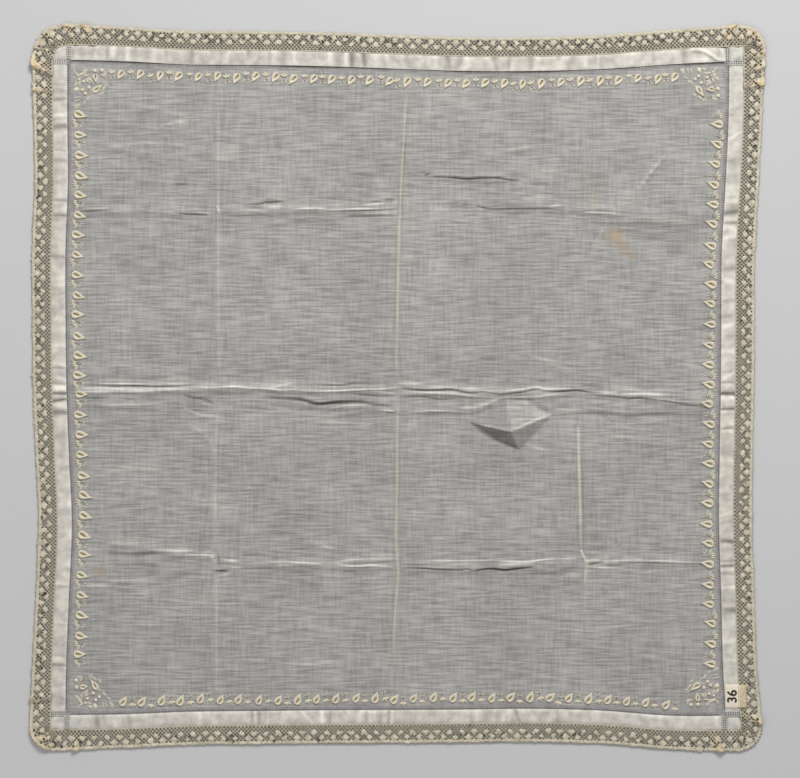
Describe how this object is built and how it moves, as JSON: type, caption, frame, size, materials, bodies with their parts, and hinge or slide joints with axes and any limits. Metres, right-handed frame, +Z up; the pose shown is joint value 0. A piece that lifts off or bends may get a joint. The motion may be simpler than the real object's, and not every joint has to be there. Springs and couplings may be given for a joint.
{
  "type": "lace handkerchief",
  "caption": "Square lawn handkerchief with a turned hem, whitework border and pleated net lace edging, laid out flat with its fold creases",
  "frame": {"origin": "the surface it lies on, under the middle of the whole handkerchief", "axes": "+Z up out of the cloth, +X to the right and +Y to the top of the handkerchief as it is laid out"},
  "size_m": [0.4211, 0.4166, 0.005],
  "materials": {
    "lawn": "sheer plain-weave lawn, its turned hem doubled and whiter, with cream satin-stitch whitework",
    "net_lace": "aged cream machine net lace with clothwork spots, a scalloped solid band and fine picots",
    "tape": "cream woven cotton tape with plain black woven numerals"
  },
  "bodies": {
    "root": {"cloth": "lawn", "lace_edging": "net_lace", "number_tape": "tape"}
  },
  "joints": []
}
